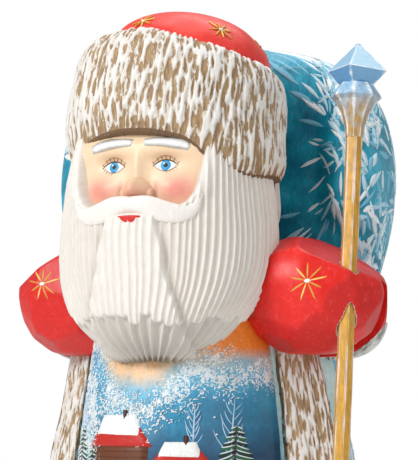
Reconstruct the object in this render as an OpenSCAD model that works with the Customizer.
// Carved and painted wooden winter grandfather with a sack and a crystal-topped staff.
// Millimetres, +Z up. The origin is on the table, under the middle of the base.
// The figure looks towards -Y, so its own left hand, which holds the staff, is at +X.

/* [Base] */
// Width of the oval plinth
base_w = 154; // [152:1:166]
// Depth of the oval plinth
base_d = 132; // [130:1:144]
// Thickness of the plinth
base_h = 10; // [9:0.5:16]
// Thickness of the felt under the plinth
felt_t = 1; // [0.8:0.1:2]

/* [Coat] */
// Width of the coat at its hem
hem_w = 126; // [120:1:130]
// Height of the shoulders above the table
shoulder_z = 172; // [170:1:174]
// How far the fur trims stand out from the coat
fur_t = 3; // [2:0.5:4]
// Height of the fur band round the hem
hem_fur_h = 19; // [12:1:26]

/* [Head and hat] */
// Width of the beard at the cheeks
beard_w = 80; // [76:1:82]
// Height of the chin end of the beard above the table
beard_low_z = 128; // [126:1:131]
// Widest diameter of the fur hat band
brim_w = 79; // [77:1:82]
// Height of the fur hat band
brim_h = 36; // [34:1:38]
// How far the hat leans back, in degrees
hat_tilt = 13; // [6:1:14]
// Height of the red crown above the fur band
crown_h = 19; // [14:1:22]

/* [Arms] */
// Distance from the middle of the figure to the end of the staff mitten
staff_reach = 75; // [74:0.5:76]
// Distance from the middle of the figure to the end of the free mitten
free_reach = 66; // [64:0.5:68]

/* [Sack] */
// Width of the sack
sack_w = 133; // [120:1:140]
// Height of the top of the sack above the table
sack_top_z = 247; // [236:1:252]

/* [Staff] */
// Size of the six-sided shaft across its corners
shaft_d = 6.2; // [5.4:0.1:6.6]
// Length of the staff from the plinth to the tip of the crystal
staff_l = 230; // [215:1:240]
// Size of the crystal across its corners
crystal_d = 22; // [18:0.5:26]

/* [Hidden] */

$fn = 48;
fit = 0.05;            // radial gap round a glued dowel or a turned spigot
deck_z = felt_t + base_h;
head_y = -14;          // the head sits forward of the middle of the base
hat_z = 198.5;         // height of the lower edge of the hat on its own axis
sack_seat_y = 26;      // flat back of the coat that the sack is glued to
sack_low_z = 100;
arm_z = 151;           // height of the middle of the mittens
trim_top_z = arm_z - 25.5;
part_y = -4;           // where the beard ends and the back hair begins

// Staff axis: from its foot on the plinth, leaning backwards and a little outwards
staff_foot = [63, -30, deck_z];
staff_lean = 5.8;
staff_heading = 79.5;
shaft_clearance = 0.3;
spigot_r = 2.2;
spigot_l = 6;
foot_gap = 0.4;        // the leaning shaft just clears the plinth
tenon_r = 1.8;

// ---- Carving helpers ----

function signed_power(v, e) = sign(v) * pow(abs(v), e);

// A station is [z, half width, half depth, y of its middle, x of its middle]
function ring(s, sides, p = 2) = [
    for (k = [0:sides - 1])
        let (t = 360 * (k + 0.5) / sides)
        [s[4] + s[1] * signed_power(cos(t), 2 / p), s[3] + s[2] * signed_power(sin(t), 2 / p), s[0]]
];

function curve(a, b, c, d, t) =
    b + (c - a) * t / 2 + (2 * a - 5 * b + 4 * c - d) * t * t / 2 + (3 * b - a - 3 * c + d) * t * t * t / 2;

function smooth(list, steps) = let (last = len(list) - 1) [
    for (i = [0:last - 1], k = [0:steps - 1])
        curve(list[max(i - 1, 0)], list[i], list[i + 1], list[min(i + 2, last)], k / steps),
    list[last]
];

// Closed skin over a stack of outlines with the same number of points
module skin(outlines) {
    rows = len(outlines);
    sides = len(outlines[0]);
    walls = [
        for (r = [0:rows - 2], k = [0:sides - 1])
            let (a = r * sides + k, b = r * sides + (k + 1) % sides)
            each [[a, a + sides, b + sides], [a, b + sides, b]]
    ];
    floor_face = [for (k = [0:sides - 1]) k];
    top_face = [for (k = [1:sides]) rows * sides - k];
    polyhedron([for (o = outlines) each o], concat(walls, [floor_face, top_face]));
}

module block(stations, sides, p = 2) skin([for (s = stations) ring(s, sides, p)]);

// Rounded lobe: middle, half sizes, and how square it is
module lobe(middle, half, sides, layers, p) {
    block([
        for (i = [0:layers])
            let (v = -cos(180 * (i + 0.35) / (layers + 0.7)), r = pow(1 - pow(abs(v), p), 1 / p))
            [middle[2] + half[2] * v, half[0] * r, half[1] * r, middle[1], middle[0]]
    ], sides, p);
}

// Keeps a carving as one closed skin
module carved() resize([0, 0, 0]) children();

module half_space_behind(y) translate([-200, y, -10]) cube([400, 400, 400]);

// ---- Shapes that pieces are cut to ----

function coat_stations() = [
    for (s = [
        [deck_z, 1, 33, 13], [60, 0.952, 31, 14], [92, 0.905, 29.5, 15], [110, 0.841, 28, 15.5],
        [133, 0.762, 26, 14], [150, 0.683, 24, 12], [shoulder_z - 6, 0.571, 22, 8], [shoulder_z, 0.429, 20, 6]
    ])
        [s[0], s[1] * hem_w / 2, s[2], s[3], 0]
];

robe_stations = [
    [deck_z, 44, 44, -4, 0], [60, 41, 42, -4, 0], [92, 38.5, 40.5, -4, 0],
    [133, 33.5, 35, -3, 0], [155, 30, 30, -2, 0], [shoulder_z - 4, 25, 24, -2, 0]
];

// The station of a carving at any height
function at_height(stations, z) = let (s = smooth(stations, 4)) [
    z, lookup(z, [for (p = s) [p[0], p[1]]]), lookup(z, [for (p = s) [p[0], p[2]]]),
    lookup(z, [for (p = s) [p[0], p[3]]]), 0
];

function grown(s, by) = s + [0, by, by, 0, 0];

coat_p = 2.3;          // how square the coat is
module coat_solid() block(smooth(coat_stations(), 2), 40, coat_p);
module robe_solid() block(smooth(robe_stations, 2), 36);

module body_solid() {
    coat_solid();
    robe_solid();
}

function beard_stations() = [
    for (s = [
        [beard_low_z, 0.3, 12, -30], [134, 0.575, 21, -29], [143, 0.8, 27, -28],
        [155, 0.95, 33.5, -22.5], [170, 1, 37, -19], [190, 0.99, 37, -18], [206, 0.9, 33, -17]
    ])
        [s[0], s[1] * beard_w / 2, s[2], s[3], 0]
];

module beard_solid() block(smooth(beard_stations(), 2), 36);

module in_hat() translate([0, head_y, hat_z]) rotate([-hat_tilt, 0, 0]) children();

tenon_h = 24;          // how far the head reaches up into the hat
head_tenon_r = 25;
crown_plug_r = 28;

module head_solid() {
    block(smooth([
        [shoulder_z, 23, 26, -16, 0], [178, 24.5, 29, -17, 0], [190, 26.5, 31, -17, 0], [204, 26, 29, -15.5, 0]
    ], 2), 32);
    in_hat() translate([0, 0, -4]) cylinder(r = head_tenon_r, h = tenon_h + 4);
}

module brim_solid() {
    w = brim_w / 2;
    in_hat() block(smooth([
        [0, w - 3, w - 3, 0, 0], [4, w - 1, w - 1, 0, 0], [brim_h * 0.4, w, w, 0, 0],
        [brim_h * 0.75, w - 1.2, w - 1.2, 0, 0], [brim_h * 0.94, w - 4, w - 4, 0, 0],
        [brim_h, w - 6, w - 6, 0, 0]
    ], 2), 36);
}

// Room taken by the chest and the beard, cut into the arms with a thin glue gap
module chest_room() {
    block([for (s = coat_stations()) grown(s, 1.3)], 24, coat_p);
    block([for (s = robe_stations) grown(s, 1.3)], 24);
}

module beard_room() block([for (s = beard_stations()) grown(s, 1.5)], 24);

// Room in the front of the sack for the back of the hat
module hat_room() in_hat() translate([0, 0, -1]) cylinder(r = brim_w / 2 + 0.6, h = brim_h + 2, $fn = 40);

// Arm shapes: side is 1 for the figure's left arm and -1 for its right arm
function reach(side) = side > 0 ? staff_reach : free_reach;
function sleeve_reach(side) = side > 0 ? staff_reach + 0.5 : free_reach + 4;
cuff_y = 6;            // flat face between mitten and sleeve

module mitten_solid(side)
    lobe([side * (reach(side) - 25), -4, arm_z], [25, 21, 20], 24, 9, 2.5);

module sleeve_solid(side)
    lobe([side * (sleeve_reach(side) - 24), 5, arm_z], [24, 20, 23], 24, 10, 2.5);

// ---- Dowels and screws ----

module along_x(from, to, r) translate(from) rotate([0, 90, 0]) cylinder(r = r, h = to[0] - from[0]);
module along_y(from, to, r) translate(from) rotate([-90, 0, 0]) cylinder(r = r, h = to[1] - from[1]);

module head_peg(gap = 0) translate([0, -2, 150 - gap]) cylinder(r = 5 + gap, h = 40 + 2 * gap);
module hat_peg(gap = 0) in_hat() translate([0, 0, 10 - gap]) cylinder(r = 4 + gap, h = 28 + 2 * gap);

module arm_pegs(gap = 0) {
    for (side = [-1, 1])
        mirror([side < 0 ? 1 : 0, 0, 0])
            along_x([18 - gap, 15, arm_z + 5], [56 + gap, 15, arm_z + 5], 3.5 + gap);
}

module mitten_pegs(gap = 0) {
    for (side = [-1, 1])
        along_y([side * 50, -8 - gap, arm_z - 7], [side * 50, 18 + gap, arm_z - 7], 3 + gap);
}

module sack_pegs(gap = 0) {
    for (z = [132, 160])
        along_y([0, 8 - gap, z], [0, 46 + gap, z], 4 + gap);
}

screw_x = 28;
screw_r = 1.75;
screw_head_r = 3.6;
screw_head_h = 2.6;

module base_screw(gap = 0) {
    cylinder(r1 = screw_head_r + gap, r2 = screw_r + gap, h = screw_head_h);
    cylinder(r = screw_r + gap, h = base_h + 18 + gap);
}

module base_screw_pair(gap = 0) {
    for (side = [-1, 1])
        translate([side * screw_x, 0, felt_t])
            base_screw(gap);
}

// ---- Base ----

module oval(w, d, h) linear_extrude(h) polygon([for (p = ring([0, w / 2, d / 2, 0, 0], 40)) [p[0], p[1]]]);

module base_felt() color("dimgray") oval(base_w - 6, base_d - 6, felt_t);

module base_plinth() {
    w = base_w / 2;
    d = base_d / 2;
    color("aliceblue") difference() {
        block([
            [felt_t, w - 2, d - 2, 0, 0], [felt_t + 2, w, d, 0, 0],
            [deck_z - 3, w - 0.5, d - 0.5, 0, 0], [deck_z, w - 2, d - 2, 0, 0]
        ], 40);
        base_screw_pair(fit);
        in_staff() translate([0, 0, -spigot_l - 0.2]) cylinder(r = spigot_r + fit, h = spigot_l + 3);
    }
}

module base_screws() color("silver") base_screw_pair();

// ---- Coat ----

// Space behind the coat that the sack fills: a flat seat above a sloping ledge
module sack_space()
    translate([100, 0, 0]) rotate([0, -90, 0])
        linear_extrude(200) polygon([[300, sack_seat_y], [118, sack_seat_y], [86, 56], [86, 150], [300, 150]]);

module coat_body() {
    color("lightblue") difference() {
        carved() difference() {
            coat_solid();
            sack_space();
        }
        head_peg(fit);
        arm_pegs(fit);
        sack_pegs(fit);
        base_screw_pair(fit);
    }
}

module robe_front() {
    color("steelblue") difference() {
        carved() difference() {
            robe_solid();
            coat_solid();
        }
        head_peg(fit);
    }
}

module fur_band(stations, sides, p) {
    heights = [for (k = [0:3]) deck_z + (hem_fur_h - 1) * k / 3];
    band = [for (z = heights) grown(at_height(stations, z), fur_t)];
    rim = grown(at_height(stations, deck_z + hem_fur_h), fur_t - 1);
    block(concat(band, [rim]), sides, p);
}

module fur_hem() {
    color("burlywood") carved() difference() {
        union() {
            fur_band(coat_stations(), 40, coat_p);
            fur_band(robe_stations, 36, 2);
        }
        body_solid();
    }
}

// Outline of a fur trim at one station of the coat: it starts beside the robe and ends at the coat's corner
function trim_outline(s, robe, side, steps = 4) =
    let (outer = grown(s, fur_t), inner = grown(s, 0.35), high = 72)
    let (low = asin(pow((robe[1] + 0.6) / s[1], coat_p / 2)))
    let (at = function(q, a) [
        side * q[1] * signed_power(sin(a), 2 / coat_p), q[3] - q[2] * signed_power(cos(a), 2 / coat_p), q[0]
    ])
    let (path = concat(
        [for (k = [0:steps]) at(inner, low + (high - low) * k / steps)],
        [for (k = [steps:-1:0]) at(outer, low + (high - low) * k / steps)]
    ))
    side > 0 ? [for (k = [len(path) - 1:-1:0]) path[k]] : path;

module fur_trim(side) {
    low_z = deck_z + hem_fur_h;
    heights = [for (k = [0:12]) low_z + (trim_top_z - low_z) * k / 12];
    color("burlywood") skin([
        for (z = heights)
            trim_outline(at_height(coat_stations(), z), at_height(robe_stations, z), side)
    ]);
}

module fur_trim_left() fur_trim(1);
module fur_trim_right() fur_trim(-1);

// ---- Arms ----

module sleeve(side) {
    color("firebrick") difference() {
        carved() difference() {
            sleeve_solid(side);
            chest_room();
            mirror([0, 1, 0]) half_space_behind(-cuff_y);
        }
        arm_pegs(fit);
        mitten_pegs(fit);
    }
}

module sleeve_left() sleeve(1);
module sleeve_right() sleeve(-1);

module cuff_fur_solid(side)
    lobe([side * (sleeve_reach(side) - 24), 9, arm_z - 0.5], [24.2, 13, 24.5], 24, 10, 2.5);

module cuff_fur(side) {
    color("gainsboro") carved() difference() {
        cuff_fur_solid(side);
        sleeve_solid(side);
        chest_room();
        translate([-200, -200, arm_z - 5]) cube([400, 400, 100]);
    }
}

module cuff_fur_left() cuff_fur(1);
module cuff_fur_right() cuff_fur(-1);

module mitten(side) {
    color("red") difference() {
        carved() difference() {
            mitten_solid(side);
            chest_room();
            beard_room();
            half_space_behind(cuff_y);
        }
        mitten_pegs(fit);
        if (side > 0) in_staff() translate([0, 0, 90]) cylinder(r = shaft_d / 2 + shaft_clearance, h = 90);
    }
}

module mitten_left() mitten(1);
module mitten_right() mitten(-1);
module arm_dowels() color("tan") arm_pegs();
module mitten_dowels() color("tan") mitten_pegs();

// ---- Head ----

nose_z = 186;
nose_r = 5.5;

module head() {
    color("bisque") difference() {
        union() {
            carved() head_solid();
            translate([0, -48, nose_z]) sphere(r = nose_r);
        }
        head_peg(fit);
        hat_peg(fit);
    }
}

module head_dowel() color("tan") head_peg();

// Opening in the beard that the face looks out of
module face_window() {
    hull() {
        for (x = [-1, 1], low = [0, 1])
            translate([x * (low ? 10 : 23), -100, low ? 186 : 200])
                rotate([-90, 0, 0])
                    cylinder(r = low ? 9.5 : 3, h = 78, $fn = 24);
        translate([-26, -100, 206]) cube([52, 78, 4]);
    }
}

module beard() {
    color("white") carved() difference() {
        beard_solid();
        head_solid();
        body_solid();
        brim_solid();
        face_window();
        translate([0, -48, nose_z]) sphere(r = nose_r + 0.2, $fn = 24);
        moustache_solid();
        half_space_behind(part_y);
    }
}

module moustache_solid() {
    for (side = [-1, 1])
        hull() {
            translate([side * 3, -51, 181]) scale([1, 0.8, 0.8]) sphere(r = 4, $fn = 24);
            translate([side * 15, -47, 179]) scale([1, 0.8, 1]) sphere(r = 4, $fn = 24);
        }
}

module moustache() {
    color("ivory") carved() difference() {
        moustache_solid();
        head_solid();
        translate([0, -48, nose_z]) sphere(r = nose_r + 0.1, $fn = 24);
    }
}

module back_hair() {
    color("white") carved() difference() {
        block(smooth([
            [169, 29, 27, head_y, 0], [178, 36.5, 33.5, head_y, 0], [190, 37.5, 35, head_y, 0], [206, 35, 33, head_y, 0]
        ], 2), 36);
        head_solid();
        body_solid();
        brim_solid();
        mirror([0, 1, 0]) half_space_behind(-part_y);
    }
}

// ---- Hat ----

module hat_fur_brim() {
    color("tan") difference() {
        carved() difference() {
            brim_solid();
            in_hat() translate([0, 0, -1]) cylinder(r = head_tenon_r + 6, h = 5);
            head_solid();
        }
        in_hat() translate([0, 0, -1]) cylinder(r = head_tenon_r + fit, h = tenon_h + 1);
        in_hat() translate([0, 0, tenon_h]) cylinder(r = crown_plug_r + fit, h = brim_h);
    }
}

module hat_crown() {
    r = brim_w / 2 - 7;
    color("red") difference() {
        in_hat() {
            translate([0, 0, tenon_h]) cylinder(r = crown_plug_r, h = brim_h - tenon_h);
            translate([0, 0, brim_h])
                block([
                    for (a = [0:9:81])
                        [crown_h * sin(a), r * pow(cos(a), 0.8), r * pow(cos(a), 0.8), 0, 0]
                ], 30);
        }
        hat_peg(fit);
    }
}

module hat_dowel() color("tan") hat_peg();

// ---- Sack ----

function sack_stations() = [
    for (s = [
        [sack_low_z, 0.36, 13, 40], [104, 0.50, 19, 39.5], [112, 0.59, 24, 39], [128, 0.68, 29, 38.5],
        [145, 0.81, 33, 38], [160, 0.90, 36, 38], [180, 0.977, 38, 38], [198, 1, 38.5, 38], [214, 0.97, 37.5, 38],
        [226, 0.90, 35, 38], [236, 0.77, 29.5, 38]
    ])
        [s[0], s[1] * sack_w / 2, s[2], s[3], 0]
];

module sack() {
    crest = [
        [sack_top_z - 4, 0.56 * sack_w / 2, 22, 38, 0], [sack_top_z, 0.30 * sack_w / 2, 12, 38, 0]
    ];
    color("teal") difference() {
        carved() intersection() {
            block(concat(sack_stations(), crest), 28, 2.15);
            difference() {
                sack_space();
                hat_room();
            }
        }
        sack_pegs(fit);
    }
}

module sack_dowels() color("tan") sack_pegs();

// ---- Staff ----

module in_staff()
    translate(staff_foot) rotate([0, staff_lean, staff_heading]) rotate([0, 0, -staff_heading]) children();

neck_l = 14;           // length of the collar's flared neck
ring_below_tip = 10;   // widest ring of the crystal, below its tip
waist_below_tip = 15;
collar_below_tip = 20; // widest ring of the collar
neck_below_tip = collar_below_tip + neck_l;
crystal_turn = 3;      // how far the crystal's corners are turned from straight ahead
waist_r = 0.285 * crystal_d;

module staff_shaft() {
    color("goldenrod") in_staff() {
        translate([0, 0, -spigot_l]) cylinder(r = spigot_r, h = spigot_l + 1);
        translate([0, 0, foot_gap]) cylinder(r = shaft_d / 2, h = staff_l - neck_below_tip - foot_gap, $fn = 6);
        cylinder(r = tenon_r, h = staff_l - ring_below_tip);
    }
}

module staff_collar() {
    w = 0.42 * crystal_d;
    color("wheat") in_staff() rotate([0, 0, crystal_turn]) difference() {
        block([
            [staff_l - neck_below_tip, shaft_d * 0.55, shaft_d * 0.55, 0, 0],
            [staff_l - neck_below_tip + neck_l * 0.5, shaft_d * 0.78, shaft_d * 0.78, 0, 0],
            [staff_l - collar_below_tip, w, w, 0, 0],
            [staff_l - waist_below_tip, waist_r, waist_r, 0, 0]
        ], 8);
        cylinder(r = tenon_r + fit, h = staff_l);
    }
}

module staff_crystal() {
    color("skyblue") in_staff() rotate([0, 0, crystal_turn + 45]) difference() {
        block([
            [staff_l - waist_below_tip, waist_r, waist_r, 0, 0],
            [staff_l - ring_below_tip, crystal_d / 2, crystal_d / 2, 0, 0],
            [staff_l, 1.6, 1.6, 0, 0]
        ], 4);
        cylinder(r = tenon_r + fit, h = staff_l - ring_below_tip + fit);
    }
}

// ---- Nodes ----

base_felt();
base_plinth();
base_screws();
coat_body();
robe_front();
fur_hem();
fur_trim_left();
fur_trim_right();
sleeve_left();
sleeve_right();
cuff_fur_left();
cuff_fur_right();
mitten_left();
mitten_right();
arm_dowels();
mitten_dowels();
head();
head_dowel();
beard();
moustache();
back_hair();
hat_fur_brim();
hat_crown();
hat_dowel();
sack();
sack_dowels();
staff_shaft();
staff_collar();
staff_crystal();
